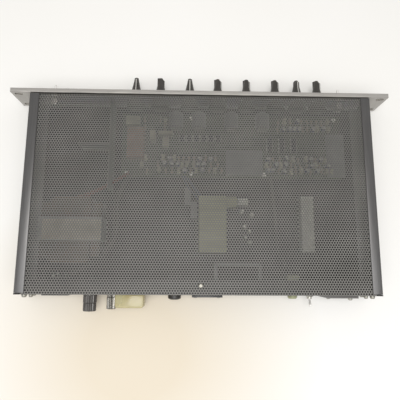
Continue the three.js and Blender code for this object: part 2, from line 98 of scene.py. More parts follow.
class Finish:
    """A material: a shader, and the patterns in the object's own space that feed it."""

    def __init__(self, name, rough=0.5, metal=0.0, **sockets):
        self.material = bpy.data.materials.new(name)
        self.material.use_nodes = True
        self.tree = self.material.node_tree
        self.shader = self.tree.nodes["Principled BSDF"]
        self.shader.inputs["Roughness"].default_value = rough
        self.shader.inputs["Metallic"].default_value = metal
        for socket, value in sockets.items():
            self.shader.inputs[socket.replace("_", " ")].default_value = value
        self.place = self.node("ShaderNodeTexCoord").outputs["Object"]

    def node(self, kind, **inputs):
        made = self.tree.nodes.new(kind)
        for socket, value in inputs.items():
            made.inputs[socket.replace("_", " ")].default_value = value
        return made

    def link(self, source, target):
        self.tree.links.new(source, target)

    def noise(self, size, detail=3.0, stretch=(1, 1, 1)):
        """Cloudy noise whose blotches are about size millimetres across, times stretch along each axis."""
        mapping = self.node("ShaderNodeMapping")
        mapping.inputs["Scale"].default_value = [1 / (size * MM * s) for s in stretch]
        texture = self.node("ShaderNodeTexNoise", Scale=1.0, Detail=detail)
        self.link(self.place, mapping.inputs["Vector"])
        self.link(mapping.outputs["Vector"], texture.inputs["Vector"])
        return texture.outputs["Fac"]

    def grains(self, size):
        """Cells about size millimetres across; the value is the distance from each cell's middle."""
        mapping = self.node("ShaderNodeMapping")
        mapping.inputs["Scale"].default_value = (1 / (size * MM),) * 3
        texture = self.node("ShaderNodeTexVoronoi", Scale=1.0)
        self.link(self.place, mapping.inputs["Vector"])
        self.link(mapping.outputs["Vector"], texture.inputs["Vector"])
        return texture.outputs["Distance"]

    def ramp(self, value, *stops):
        """Colours along a value: each stop is (place, colour)."""
        made = self.node("ShaderNodeValToRGB")
        bar = made.color_ramp.elements
        while len(bar) < len(stops):
            bar.new(0.5)
        for element, (place, colour) in zip(bar, stops):
            element.position = place
            element.color = (*colour, 1.0)
        self.link(value, made.inputs["Fac"])
        return made.outputs["Color"]

    def spread(self, value, low, high, start=0.3, end=0.7):
        made = self.node("ShaderNodeMapRange", From_Min=start, From_Max=end, To_Min=low, To_Max=high)
        self.link(value, made.inputs["Value"])
        return made.outputs["Result"]

    def mix(self, factor, first, second, blend="MIX"):
        made = self.node("ShaderNodeMix")
        made.data_type = "RGBA"
        made.blend_type = blend
        for source, socket in ((factor, 0), (first, 6), (second, 7)):
            self.link(source, made.inputs[socket])
        return made.outputs[2]

    def colour(self, source):
        self.link(source, self.shader.inputs["Base Color"])
        return self

    def rough(self, source):
        self.link(source, self.shader.inputs["Roughness"])
        return self

    def bump(self, height, strength, depth):
        """Bump depth millimetres deep."""
        made = self.node("ShaderNodeBump", Strength=strength, Distance=depth * MM)
        self.link(height, made.inputs["Height"])
        self.link(made.outputs["Normal"], self.shader.inputs["Normal"])
        return self


def shade(colour, amount):
    return tuple(min(1.0, c * amount) for c in colour)


def brushed(name, colour, rough, grain, metal=1.0, spread=0.14, darker_behind=None):
    """Metal brushed along one axis: grain is the stretch of its scratches along X, Y and Z.

    Past a given place along Y, in millimetres, the metal's colour is made darker."""
    made = Finish(name, metal=metal)
    scratches = made.noise(0.35, 4.0, grain)
    clouds = made.noise(45, 2.0)
    both = made.mix(
        clouds,
        made.ramp(scratches, (0.3, shade(colour, 1 - spread)), (0.7, shade(colour, 1 + spread))),
        made.ramp(scratches, (0.3, shade(colour, 0.94 - spread)), (0.7, shade(colour, 0.98 + spread))),
    )
    if darker_behind is not None:
        # behind the given place along Y the colour is darkened
        split = made.node("ShaderNodeSeparateXYZ")
        made.link(made.place, split.inputs["Vector"])
        behind_it = made.spread(split.outputs["Y"], 0.0, 1.0, (darker_behind - 0.2) * MM, darker_behind * MM)
        dull = made.ramp(scratches, (0.3, shade(colour, 0.58)), (0.7, shade(colour, 0.7)))
        both = made.mix(behind_it, both, dull)
    made.colour(both)
    made.rough(made.spread(scratches, rough - 0.07, rough + 0.09))
    return made.bump(scratches, 0.25, 0.02).material


def painted(name, colour, rough, painted_shade_below=None):
    """Sprayed paint or coating: faint orange peel, and blotches of handling and dust.

    Under a given height, in millimetres, the colour is darkened: painted shade, for the hole walls and the
    underside of a sheet."""
    made = Finish(name)
    blotches = made.noise(38, 4.0)
    coat = made.ramp(blotches, (0.3, shade(colour, 0.88)), (0.52, colour), (0.75, shade(colour, 1.16)))
    # painted shade: under the given height the coat's colour falls to about a fifth
    if painted_shade_below is not None:
        split = made.node("ShaderNodeSeparateXYZ")
        made.link(made.place, split.inputs["Vector"])
        covered = made.spread(split.outputs["Z"], 0.0, 1.0, (painted_shade_below - 0.2) * MM, painted_shade_below * MM)
        shaded_coat = made.ramp(blotches, (0.3, shade(colour, 0.14)), (0.7, shade(colour, 0.22)))
        coat = made.mix(covered, shaded_coat, coat)
    made.colour(coat)
    made.rough(made.spread(blotches, rough - 0.06, rough + 0.08))
    return made.bump(made.noise(0.5, 2.0), 0.2, 0.03).material


def moulded(name, colour, rough, grain=0.25, depth=0.02):
    """Moulded plastic: a fine even grain and slight handling marks."""
    made = Finish(name)
    marks = made.noise(9, 5.0)
    made.colour(made.ramp(marks, (0.3, shade(colour, 0.8)), (0.6, colour), (0.8, shade(colour, 1.35))))
    made.rough(made.spread(marks, rough - 0.08, rough + 0.12))
    return made.bump(made.noise(grain, 2.0), 0.3, depth).material


def plated(name, colour, rough, dull=0.12):
    """Plated or polished metal with faint tarnish and fine scuffs."""
    made = Finish(name, metal=1.0)
    tarnish = made.noise(4, 5.0)
    worn = shade(colour, 1 - dull)
    made.colour(made.ramp(tarnish, (0.32, worn), (0.6, colour), (0.8, shade(colour, 1.05))))
    made.rough(made.spread(tarnish, rough, rough + 0.12))
    return made.bump(made.noise(0.3, 3.0, (1, 4, 1)), 0.12, 0.01).material


def board_laminate(name):
    """Solder-masked board: green-grey, with paler tracks running both ways under the mask."""
    made = Finish(name, rough=0.42)
    across = made.noise(2.2, 1.0, (9, 1, 1))
    along = made.noise(2.2, 1.0, (1, 9, 1))
    base = made.ramp(across, (0.5, (0.04, 0.047, 0.033)), (0.53, (0.07, 0.08, 0.055)))
    tracks = made.ramp(along, (0.5, (0.04, 0.047, 0.033)), (0.53, (0.075, 0.085, 0.058)))
    made.colour(made.mix(made.noise(14, 1.0), base, tracks, "LIGHTEN"))
    return made.bump(made.spread(across, 0.0, 1.0, 0.49, 0.54), 0.4, 0.04).material


def laminations(name):
    """Varnished steel laminations, stacked upwards."""
    made = Finish(name, metal=0.55)
    layers = made.node("ShaderNodeTexWave", Scale=1.0, Distortion=0.4, Detail=1.0)
    layers.bands_direction = "Z"
    mapping = made.node("ShaderNodeMapping")
    mapping.inputs["Scale"].default_value = (40, 40, 620)
    made.link(made.place, mapping.inputs["Vector"])
    made.link(mapping.outputs["Vector"], layers.inputs["Vector"])
    rust = made.noise(6, 4.0)
    plain = made.ramp(layers.outputs["Fac"], (0.2, (0.04, 0.036, 0.032)), (0.8, (0.12, 0.11, 0.095)))
    made.colour(made.mix(rust, plain, made.ramp(rust, (0.4, (0.06, 0.048, 0.04)), (0.7, (0.15, 0.1, 0.07)))))
    made.rough(made.spread(rust, 0.35, 0.65))
    return made.bump(layers.outputs["Fac"], 0.4, 0.1).material


def aged_clear_plastic(name):
    """Once clear plastic, gone straw-yellow: slightly cloudier and deeper in soft patches."""
    made = Finish(name, Transmission_Weight=0.5, IOR=1.49)
    haze = made.noise(20, 1.0)
    pale = (0.8, 0.75, 0.47)
    made.colour(made.ramp(haze, (0.3, (0.67, 0.58, 0.29)), (0.55, (0.73, 0.66, 0.37)), (0.78, pale)))
    made.rough(made.spread(haze, 0.16, 0.3))
    return made.bump(made.noise(6, 1.0), 0.1, 0.05).material


def clear_glass(name):
    made = Finish(name, Transmission_Weight=1.0, IOR=1.5)
    smears = made.noise(3, 3.0)
    made.colour(made.ramp(smears, (0.3, (0.86, 0.9, 0.88)), (0.7, (0.97, 0.98, 0.97))))
    return made.rough(made.spread(smears, 0.02, 0.12)).material


def paper_label(name):
    """Cream paper with faint ruled grey lines and browned patches."""
    made = Finish(name, rough=0.75)
    age = made.noise(12, 4.0)
    made.colour(made.ramp(age, (0.3, (0.3, 0.27, 0.21)), (0.6, (0.4, 0.37, 0.3)), (0.8, (0.45, 0.42, 0.35))))
    return made.bump(made.noise(0.5, 3.0), 0.2, 0.05).material


def knurled_steel(name, colour):
    """Bright knurling: fine crossed grooves round the axis."""
    made = Finish(name, metal=1.0)
    tarnish = made.noise(3, 4.0)
    made.colour(made.ramp(tarnish, (0.3, shade(colour, 0.75)), (0.65, colour)))
    made.rough(made.spread(tarnish, 0.18, 0.4))
    return made.bump(made.grains(0.5), 0.3, 0.06).material


def fabric_tape(name, colour):
    """Wound insulating tape, its turns overlapping along Y."""
    made = Finish(name, rough=0.55)
    turns = made.noise(5, 1.0, (6, 1, 6))
    made.colour(made.ramp(turns, (0.35, shade(colour, 0.9)), (0.5, colour), (0.7, shade(colour, 1.08))))
    made.rough(made.spread(turns, 0.4, 0.65))
    return made.bump(turns, 0.5, 0.25).material


DARKER_BACK = PANEL_HIGH.y - 0.1  # the panel's back face is coloured darker
SILVER = brushed("silver_panel", (0.62, 0.6, 0.57), 0.34, (60, 1, 1), darker_behind=DARKER_BACK)
BLACK_RAIL = brushed("black_rail", (0.155, 0.153, 0.153), 0.38, (1, 60, 1), metal=0.85, spread=0.1)
# the sheet's hole walls and underside get painted shade
GREY_SHEET = painted("grey_sheet", (0.198, 0.193, 0.181), 0.5, painted_shade_below=COVER_HIGH.z - 0.05)
DARK_PAINT = painted("dark_paint", (0.022, 0.021, 0.02), 0.5)
BLACK_KNOB = moulded("black_knob", (0.05, 0.046, 0.041), 0.34)
BLACK_PLASTIC = moulded("black_plastic", (0.03, 0.03, 0.03), 0.3)
PHENOLIC = moulded("phenolic", (0.085, 0.08, 0.074), 0.26)
POINTER_WHITE = moulded("pointer_white", (0.62, 0.61, 0.58), 0.5)
PRINT_BLACK = moulded("print_black", (0.025, 0.024, 0.023), 0.6)
NICKEL = plated("nickel", (0.5, 0.49, 0.45), 0.3)
DULL_CAN = plated("dull_can", (0.13, 0.125, 0.115), 0.5, 0.25)
ZINC = plated("zinc", (0.4, 0.39, 0.35), 0.4, 0.25)
DARK_NUT = plated("dark_nut", (0.11, 0.1, 0.085), 0.4, 0.3)
BRASS = plated("brass", (0.5, 0.45, 0.27), 0.34, 0.25)
KNURL = knurled_steel("knurl", (0.26, 0.25, 0.23))
LEVER = plated("lever_nickel", (0.86, 0.85, 0.83), 0.42, 0.08)
BOARD = board_laminate("board")
IRON = laminations("laminations")
AMBER = aged_clear_plastic("amber_plastic")
GLASS = clear_glass("clear_glass")
YELLOW_TAPE = fabric_tape("yellow_tape", (0.3, 0.3, 0.18))
COPPER_TAPE = fabric_tape("copper_tape", (0.12, 0.08, 0.055))
CERAMIC = moulded("ceramic", (0.44, 0.44, 0.385), 0.7, 0.5, 0.06)
ORANGE_CASE = moulded("orange_case", (0.22, 0.135, 0.1), 0.45)
CREAM_LABEL = paper_label("cream_label")
RUBBER = moulded("rubber", (0.02, 0.02, 0.02), 0.8, 0.4, 0.06)
CHIP_BLACK = moulded("chip_black", (0.03, 0.03, 0.032), 0.5)
TINNED = plated("tinned", (0.3, 0.295, 0.275), 0.42)
IVORY_BLOCK = moulded("ivory_block", (0.62, 0.56, 0.36), 0.5)
TAN_BODY = moulded("tan_body", (0.2, 0.165, 0.12), 0.5)
BLUE_SLEEVE = moulded("blue_sleeve", (0.035, 0.045, 0.08), 0.4)
WHITE_SLIDER = moulded("white_slider", (0.68, 0.66, 0.6), 0.45)
GREY_SLEEVE = moulded("grey_sleeve", (0.145, 0.145, 0.15), 0.5)
DARK_SLEEVE = moulded("dark_sleeve", (0.06, 0.058, 0.055), 0.4)
GREY_PLATE = painted("grey_plate", (0.14, 0.135, 0.13), 0.45)
KHAKI = moulded("khaki", (0.33, 0.34, 0.21), 0.4)
OLIVE_BODY = moulded("olive_body", (0.24, 0.235, 0.17), 0.5)
RED_SLEEVE = moulded("red_sleeve", (0.11, 0.04, 0.03), 0.4)


# ---- Making pieces ----


def piece(name, bm, finish, body="chassis", replaces=(), sharp=SHARP):
    """Finishes a mesh drawn in millimetres as an object that rides on a body."""
    bmesh.ops.scale(bm, vec=(MM, MM, MM), verts=bm.verts)
    mesh = bpy.data.meshes.new(name)
    bm.to_mesh(mesh)
    bm.free()
    made = bpy.data.objects.new(name, mesh)
    bpy.context.scene.collection.objects.link(made)
    mesh.materials.append(finish)
    mesh.shade_smooth()
    mesh.set_sharp_from_angle(angle=sharp)
    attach(made, body)
    if replaces:
        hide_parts(*replaces)


def bevelled(bm, edges, width, segments=2):
    bmesh.ops.bevel(
        bm,
        geom=edges,
        offset=width,
        affect="EDGES",
        segments=segments,
        profile=0.5,
        material=-1,
        clamp_overlap=True,
    )


def block(bm, low, high, edge=0.0, segments=2):
    """A box between two corners, its edges rounded by edge."""
    low, high = Vector(low), Vector(high)
    size = high - low
    place = Matrix.Translation((low + high) / 2) @ Matrix.Diagonal((*size, 1))
    verts = bmesh.ops.create_cube(bm, size=1, matrix=place)["verts"]
    if edge:
        bevelled(bm, list({e for v in verts for e in v.link_edges}), edge, segments)


def append(bm, part, place=Matrix()):
    """Adds a finished bmesh to another one, at a place."""
    carrier = bpy.data.meshes.new("carrier")
    bmesh.ops.transform(part, matrix=place, verts=part.verts)
    part.to_mesh(carrier)
    part.free()
    bm.from_mesh(carrier)
    bpy.data.meshes.remove(carrier)


def turned(points, steps=48):
    """A solid turned about Y. Points are (radius, y), from the axis round to the axis or to the start."""
    bm = bmesh.new()
    line = [bm.verts.new((r, y, 0)) for r, y in points]
    for first, second in zip(line, line[1:]):
        bm.edges.new((first, second))
    geometry = bm.verts[:] + bm.edges[:]
    bmesh.ops.spin(bm, geom=geometry, axis=(0, 1, 0), angle=math.tau, steps=steps, use_merge=True)
    bmesh.ops.remove_doubles(bm, verts=bm.verts, dist=1e-4)
    bmesh.ops.recalc_face_normals(bm, faces=bm.faces)
    return bm


def softened(points, radius, steps=3):
    """The same outline, with each inner corner between (radius, y) points rounded."""
    result = [points[0]]
    for before, here, after in zip(points, points[1:], points[2:]):
        a, b, c = Vector(before), Vector(here), Vector(after)
        reach = min(radius, (a - b).length * 0.45, (c - b).length * 0.45)
        start = b + (a - b).normalized() * reach
        end = b + (c - b).normalized() * reach
        for i in range(steps + 1):
            t = i / steps
            result.append(tuple(start * (1 - t) ** 2 + b * 2 * t * (1 - t) + end * t * t))
    return result + [points[-1]]


def placed(name, part, place, finish, body="chassis", replaces=()):
    """A piece made of a single part, moved to its place."""
    bmesh.ops.transform(part, matrix=place, verts=part.verts)
    piece(name, part, finish, body, replaces)


def at(x, y, z):
    return Matrix.Translation((x, y, z))


def upright(x, y, z):
    """A place where a shape turned about Y stands along Z."""
    return at(x, y, z) @ Matrix.Rotation(math.radians(90), 4, "X")


def refined(node, finish, edge, body="chassis", segments=2):
    """A CAD node's own shape with its edges rounded."""
    bm = bmesh.new()
    bm.from_mesh(frame["nodes"][node].data)
    bmesh.ops.remove_doubles(bm, verts=bm.verts, dist=1e-6)
    bmesh.ops.dissolve_limit(bm, angle_limit=math.radians(1), verts=bm.verts, edges=bm.edges)
    bmesh.ops.scale(bm, vec=(1 / MM,) * 3, verts=bm.verts)
    sharp = [e for e in bm.edges if e.is_manifold and e.calc_face_angle(0) > math.radians(35)]
    bevelled(bm, sharp, edge, segments)
    piece(node + "_finished", bm, finish, body, (node,))


def combined(first, second, operation):
    """One closed mesh from two: their UNION, or the DIFFERENCE that the second leaves of the first."""
    objects = []
    for bm in (first, second):
        mesh = bpy.data.meshes.new("operand")
        bm.to_mesh(mesh)
        bm.free()
        made = bpy.data.objects.new("operand", mesh)
        bpy.context.scene.collection.objects.link(made)
        objects.append(made)
    step = objects[0].modifiers.new("step", "BOOLEAN")
    step.operation = operation
    step.solver = "EXACT"
    step.use_self = True
    step.object = objects[1]
    bpy.context.view_layer.update()
    result = bmesh.new()
    result.from_object(objects[0], bpy.context.evaluated_depsgraph_get())
    for made in objects:
        mesh = made.data
        bpy.data.objects.remove(made)
        bpy.data.meshes.remove(mesh)
    return result


def hexagon_nut(across, thick, bore, y0):
    """A hexagon nut round Y from y0 to y0 + thick, its corners chamfered as if turned."""
    bm = bmesh.new()
    flat = across / 2
    rings = []
    for step in range(48):
        angle = math.radians(step * 7.5)
        edge = flat / math.cos(math.radians((step * 7.5) % 60 - 30))
        face = flat * 0.97
        drop = (edge - face) * 0.5
        section = [(bore, 0), (face, 0), (edge, drop), (edge, thick - drop), (face, thick), (bore, thick)]
        rings.append([bm.verts.new((r * math.sin(angle), y0 + y, r * math.cos(angle))) for r, y in section])
    for ring, following in zip(rings, rings[1:] + rings[:1]):
        for i in range(6):
            j = (i + 1) % 6
            bm.faces.new((ring[i], ring[j], following[j], following[i]))
    bmesh.ops.recalc_face_normals(bm, faces=bm.faces)
    return bm


def pan_screw(radius, height, crossed=True):
    """A screw's head about Y, its underside at 0, with a cross or a single slot cut into it."""
    dome = [(0, -0.4), (radius * 0.5, -0.4), (radius * 0.5, 0)]
    dome += [(radius, 0), (radius, height * 0.35), (radius * 0.86, height * 0.78)]
    dome += [(radius * 0.55, height), (0, height)]
    head = turned(softened(dome, 0.3), 28)
    cutter = bmesh.new()
    arm = radius * (0.62 if crossed else 1.2)
    for turn in (0, 90) if crossed else (0,):
        limb = bmesh.new()
        block(limb, (-arm, height * 0.45, -radius * 0.13), (arm, height * 1.5, radius * 0.13))
        append(cutter, limb, Matrix.Rotation(math.radians(turn), 4, "Y"))
    return combined(head, cutter, "DIFFERENCE")


# ---- Case ----


def vent_cells():
    """A flat sheet of square-cornered cells, each with a hole, in staggered rows along X."""
    bm = bmesh.new()
    bmesh.ops.create_circle(bm, segments=8, radius=VENT_RADIUS)
    rim = bmesh.ops.extrude_edge_only(bm, edges=bm.edges[:])["geom"]
    for v in (v for v in rim if isinstance(v, bmesh.types.BMVert)):
        for axis, half in ((0, VENT_PITCH / 2), (1, VENT_ROW / 2)):
            v.co[axis] = 0 if abs(v.co[axis]) < 0.1 else math.copysign(half, v.co[axis])
    second_row = bmesh.ops.duplicate(bm, geom=bm.verts[:] + bm.edges[:] + bm.faces[:])["geom"]
    moved = [v for v in second_row if isinstance(v, bmesh.types.BMVert)]
    bmesh.ops.translate(bm, verts=moved, vec=(VENT_PITCH / 2, VENT_ROW, 0))
    mesh = bpy.data.meshes.new("cells")
    bm.to_mesh(mesh)
    bm.free()
    sheet = bpy.data.objects.new("cells", mesh)
    bpy.context.scene.collection.objects.link(sheet)
    columns = math.ceil((COVER_HIGH.x - COVER_LOW.x) / VENT_PITCH) + 3
    repeats = ((columns, (VENT_PITCH, 0, 0)), (VENT_ROWS_PER_STRIP // 2, (0, 2 * VENT_ROW, 0)))
    for count, step in repeats:
        row = sheet.modifiers.new("row", "ARRAY")
        row.use_relative_offset = False
        row.use_constant_offset = True
        row.constant_offset_displace = step
        row.count = count
    bpy.context.view_layer.update()
    cells = bmesh.new()
    cells.from_object(sheet, bpy.context.evaluated_depsgraph_get())
    bpy.data.objects.remove(sheet)
    bpy.data.meshes.remove(mesh)
    bmesh.ops.remove_doubles(cells, verts=cells.verts, dist=0.01)
    return cells


def top_cover():
    """The perforated cover: one sheet, sheared to size through its holes, made in strips across its depth."""
    cells = vent_cells()
    carrier = bpy.data.meshes.new("cells")
    cells.to_mesh(carrier)
    cells.free()
    skip = math.floor((COVER_LOW.x - VENT_FIRST[0]) / VENT_PITCH)
    start_x = VENT_FIRST[0] + skip * VENT_PITCH
    start_y = PANEL_HIGH.y + VENT_FIRST[1]
    for strip in range(VENT_STRIPS):
        bm = bmesh.new()
        bm.from_mesh(carrier)
        shift = (start_x, start_y + strip * VENT_ROWS_PER_STRIP * VENT_ROW, COVER_HIGH.z)
        bmesh.ops.translate(bm, verts=bm.verts, vec=shift)
        edges = [
            ((COVER_LOW.x, 0, 0), (-1, 0, 0)),
            ((COVER_HIGH.x, 0, 0), (1, 0, 0)),
            ((0, COVER_LOW.y, 0), (0, -1, 0)),
            ((0, COVER_HIGH.y, 0), (0, 1, 0)),
        ]
        for point, outward in edges:
            geometry = bm.verts[:] + bm.edges[:] + bm.faces[:]
            bmesh.ops.bisect_plane(bm, geom=geometry, plane_co=point, plane_no=outward, clear_outer=True)
        clear_screw_hole(bm)
        bmesh.ops.recalc_face_normals(bm, faces=bm.faces)
        if bm.faces[:] and bm.faces[0].normal.z < 0:
            bmesh.ops.reverse_faces(bm, faces=bm.faces)
        bmesh.ops.solidify(bm, geom=bm.faces[:], thickness=VENT_SHEET)
        name = f"vent_cover_{strip + 1}"
        piece(name, bm, GREY_SHEET, replaces=("top_cover",), sharp=math.radians(30))
    bpy.data.meshes.remove(carrier)


def clear_screw_hole(bm):
    """Opens the sheet where the cover's screw goes through it."""
    screw = middle("cover_screw")
    gone = [f for f in bm.faces if (f.calc_center_median().xy - screw.xy).length < 1.9]
    bmesh.ops.delete(bm, geom=gone, context="FACES")


def case():
    refined("front_panel", SILVER, 0.6, segments=3)
    for side in ("left", "right"):
        refined(f"side_rail_{side}", BLACK_RAIL, 0.35)
    refined("rear_panel", DARK_PAINT, 0.3)
    refined("bottom_plate", DARK_PAINT, 0.25)
    top_cover()
    screw = middle("cover_screw")
    bm = bmesh.new()
    append(bm, pan_screw(3.0, 1.9), upright(screw.x, screw.y, COVER_HIGH.z))
    shank = turned([(0, -8), (1.4, -8), (1.4, 0.1), (0, 0.1)], 20)
    append(bm, shank, upright(screw.x, screw.y, COVER_HIGH.z))
    piece("cover_screw_finished", bm, ZINC, replaces=("cover_screw",))


def panel_screws():
    """Screws that hold the rear panel to the rails."""
    bm = bmesh.new()
    low, high = corners("rear_panel")
    for side in (-1, 1):
        for x, z in ((206, low.z + 6.5), (206, high.z - 5.5), (198.5, high.z - 6.5)):
            radius = 3.1 if x > 200 else 2.5
            append(bm, pan_screw(radius, 3.4), at(side * x, REAR_FACE, z))
    piece("rear_panel_screws", bm, ZINC)


def feet():
    profile = [(0, 2.4), (2.7, 2.4), (2.7, 0.0), (7.2, 0.0), (8.0, 1.2), (7.5, 6.2), (0, 6.2)]
    screws = bmesh.new()
    for end in ("front", "rear"):
        for side in ("left", "right"):
            node = f"foot_{end}_{side}"
            centre = middle(node)
            height = corners(node)[1].z
            outline = [(r, z * height / 6.2) for r, z in profile]
            part = turned(softened(outline, 0.6), 48)
            standing = upright(centre.x, centre.y, 0)
            placed(node + "_finished", part, standing, RUBBER, replaces=(node,))
            head_down = Matrix.Rotation(math.radians(-90), 4, "X")
            append(screws, pan_screw(2.3, 1.4), at(centre.x, centre.y, 2.3) @ head_down)
    piece("foot_screws", screws, NICKEL)


# ---- Front controls ----


def knob_body(reach):
    """A flared skirt, drawn out of the panel along -Y, with the pointer fin up towards +Z."""
    outline = [(0, 1.0), (8.5, 1.0), (8.5, 2.6), (7.5, 4.2), (6.7, 6.4), (6.0, 9.2), (5.2, 12.8)]
    outline += [(4.3, 17.0), (3.45, 21.2), (2.65, reach), (0, reach)]
    body = turned([(r, -y) for r, y in softened(outline, 0.5)], 64)
    fin = bmesh.new()
    block(fin, (-2.3, -reach, -4.4), (2.3, -3.2, 4.9))
    lead = Vector((0, -reach + 3.6, 4.9))
    cut_back = Vector((0, -4.1, 3.6)).normalized()
    geometry = fin.verts[:] + fin.edges[:] + fin.faces[:]
    bmesh.ops.bisect_plane(fin, geom=geometry, plane_co=lead, plane_no=cut_back, clear_outer=True)
    bmesh.ops.holes_fill(fin, edges=fin.edges[:])
    bmesh.ops.recalc_face_normals(fin, faces=fin.faces)
    bevelled(fin, fin.edges[:], 0.55, 3)
    bore = turned([(0, -14.2), (3.25, -14.2), (3.25, -4.4), (5.95, -4.4), (5.95, 0), (0, 0)], 48)
    return combined(combined(body, fin, "UNION"), bore, "DIFFERENCE")


def pointer_line(reach):
    """The white line, from the skirt up over the fin's edge and its sloping corner."""
    bm = bmesh.new()
    skirt = [(2.5, 8.45), (4.2, 7.5), (6.4, 6.7), (9.2, 6.0), (12.8, 5.2), (14.4, 4.88)]
    route = [Vector((0, -y, z)) for y, z in (*skirt, (reach - 3.62, 4.86), (reach - 0.08, 0.78))]
    half = 0.55
    proud = 0.09
    rows = []
    for i, point in enumerate(route):
        before = (point - route[max(i - 1, 0)]).normalized()
        after = (route[min(i + 1, len(route) - 1)] - point).normalized()
        along = (before + after).normalized()
        outward = Vector((0, along.z, -along.y))
        if outward.z < 0:
            outward.negate()
        lift = outward * proud
        rows.append([bm.verts.new(point + lift + Vector((side * half, 0, 0))) for side in (-1, 1)])
    for first, second in zip(rows, rows[1:]):
        bm.faces.new((first[0], second[0], second[1], first[1]))
    bmesh.ops.recalc_face_normals(bm, faces=bm.faces)
    if bm.faces[:][0].normal.z < 0:
        bmesh.ops.reverse_faces(bm, faces=bm.faces)
    bmesh.ops.solidify(bm, geom=bm.faces[:], thickness=0.4)
    return bm


def knobs():
    reach = PANEL_LOW.y - corners("knob_6")[0].y
    shape = knob_body(reach)
    nuts = bmesh.new()
    for i in range(1, 9):
        joint = f"control_{i}_turn"
        place = pivot(joint)
        clock = -SCALE_SWEEP - JOINTS[joint]["range_deg"][0]
        turn = Matrix.Translation(place) @ Matrix.Rotation(math.radians(clock), 4, "Y")
        for name, part, finish, slot in (
            (f"knob_{i}_finished", shape.copy(), BLACK_KNOB, "knob"),
            (f"knob_{i}_line", pointer_line(reach), POINTER_WHITE, "white"),
        ):
            bm = bmesh.new()
            append(bm, part, turn)
            shown_for = (f"knob_{i}",) if finish == BLACK_KNOB else ()
            piece(name, bm, finish, f"control_{i}", shown_for)
        append(nuts, hexagon_nut(9.6, 1.9, 4.85, -2.3), at(place.x, PANEL_LOW.y, place.z))
        washer = turned([(4.85, -0.35), (5.8, -0.35), (5.8, -0.05), (4.85, -0.05), (4.85, -0.35)], 32)
        append(nuts, washer, at(place.x, PANEL_LOW.y, place.z))
    piece("pot_nuts", nuts, NICKEL)


def toggle_lever(name, outward):
    """A bat-shaped lever about its own axis, its pivot at the origin, pointing out along Y."""
    low, high = corners(name)
    length = math.hypot(high.y - low.y - 1.2, high.z - low.z - 2.2)
    profile = [(0, -1.2), (0.95, -1.2), (1.1, 0), (1.0, 3.2), (1.15, 5.5)]
    profile += [(1.48, length - 2), (1.2, length - 0.3), (0, length)]
    return turned([(r, outward * y) for r, y in softened(profile, 0.8)], 32)


def toggles():
    nuts = bmesh.new()
    for name, outward, face in (
        ("power_switch", -1, PANEL_LOW.y),
        ("bypass_switch", -1, PANEL_LOW.y),
        ("lift_switch", 1, REAR_FACE),
    ):
        place = pivot(f"{name}_flip")
        tilt = math.radians(12 * outward)
        bm = bmesh.new()
        leaning = Matrix.Translation(place) @ Matrix.Rotation(tilt, 4, "X")
        append(bm, toggle_lever(f"{name}_lever", outward), leaning)
        piece(f"{name}_lever_finished", bm, LEVER, f"{name}_lever", (f"{name}_lever",))
        start = 0.1 if outward > 0 else -2.0
        append(nuts, hexagon_nut(7.9, 1.9, 3.08, start), at(place.x, face, place.z))
        refined(f"{name}_body", NICKEL, 0.2)
    piece("toggle_nuts", nuts, NICKEL)


def lettering(text, size):
    """Flat raised characters in the X and Z plane, facing -Y and centred on the origin."""
    curve = bpy.data.curves.new("characters", "FONT")
    curve.body = text
    curve.size = size
    curve.align_x = "CENTER"
    curve.align_y = "CENTER"
    curve.extrude = 0.03
    made = bpy.data.objects.new("characters", curve)
    bpy.context.scene.collection.objects.link(made)
    bpy.context.view_layer.update()
    bm = bmesh.new()
    mesh = bpy.data.meshes.new_from_object(made.evaluated_get(bpy.context.evaluated_depsgraph_get()))
    bm.from_mesh(mesh)
    bpy.data.objects.remove(made)
    bpy.data.meshes.remove(mesh)
    bpy.data.curves.remove(curve)
    bmesh.ops.remove_doubles(bm, verts=bm.verts, dist=1e-4)
    bmesh.ops.rotate(bm, verts=bm.verts, matrix=Matrix.Rotation(math.radians(90), 3, "X"))
    return bm


def panel_printing():
    """Dial scales round the knobs, numbered 0, 5 and 10, and marks beside the toggles."""
    bm = bmesh.new()
    face = PANEL_LOW.y - 0.03
    for i in range(1, 9):
        place = pivot(f"control_{i}_turn")
        for tick in range(11):
            angle = math.radians(-SCALE_SWEEP + tick * SCALE_SWEEP / 5)
            long = tick % 5 == 0
            mark = bmesh.new()
            block(mark, (-0.22, -0.03, 9.6), (0.22, 0.03, 11.6 if long else 10.8))
            append(bm, mark, at(place.x, face, place.z) @ Matrix.Rotation(angle, 4, "Y"))
            if long:
                offset = Vector((math.sin(angle), 0, math.cos(angle))) * 13.4
                append(bm, lettering(str(tick), 3.0), at(place.x + offset.x, face, place.z + offset.z))
    for name in ("power_switch", "bypass_switch"):
        place = pivot(f"{name}_flip")
        for text, z in (("1", 10.5), ("0", -10.5)):
            append(bm, lettering(text, 3.4), at(place.x, face, place.z + z))
    piece("panel_printing", bm, PRINT_BLACK)


# ---- Rear connectors ----


def fluted(points, flutes, depth, low, high, inner=0.0):
    """A turned solid whose sides are drawn in by depth along its flutes, between low and high along Y."""
    bm = turned(points, flutes * 8)
    for v in bm.verts:
        radius = math.hypot(v.co.x, v.co.z)
        if radius > inner and low <= v.co.y <= high:
            wave = 0.5 - 0.5 * math.cos(flutes * math.atan2(v.co.x, v.co.z))
            drawn_in = (radius - depth * wave**1.5) / radius
            v.co.x *= drawn_in
            v.co.z *= drawn_in
    return bm


def thread(radius, start, end, pitch=0.7, depth=0.22):
    """Points along a threaded rod's side, as ridges, for a turned outline."""
    points = []
    for i in range(int((end - start) / pitch)):
        points.append((radius - depth, start + i * pitch))
        points.append((radius, start + (i + 0.5) * pitch))
    return points


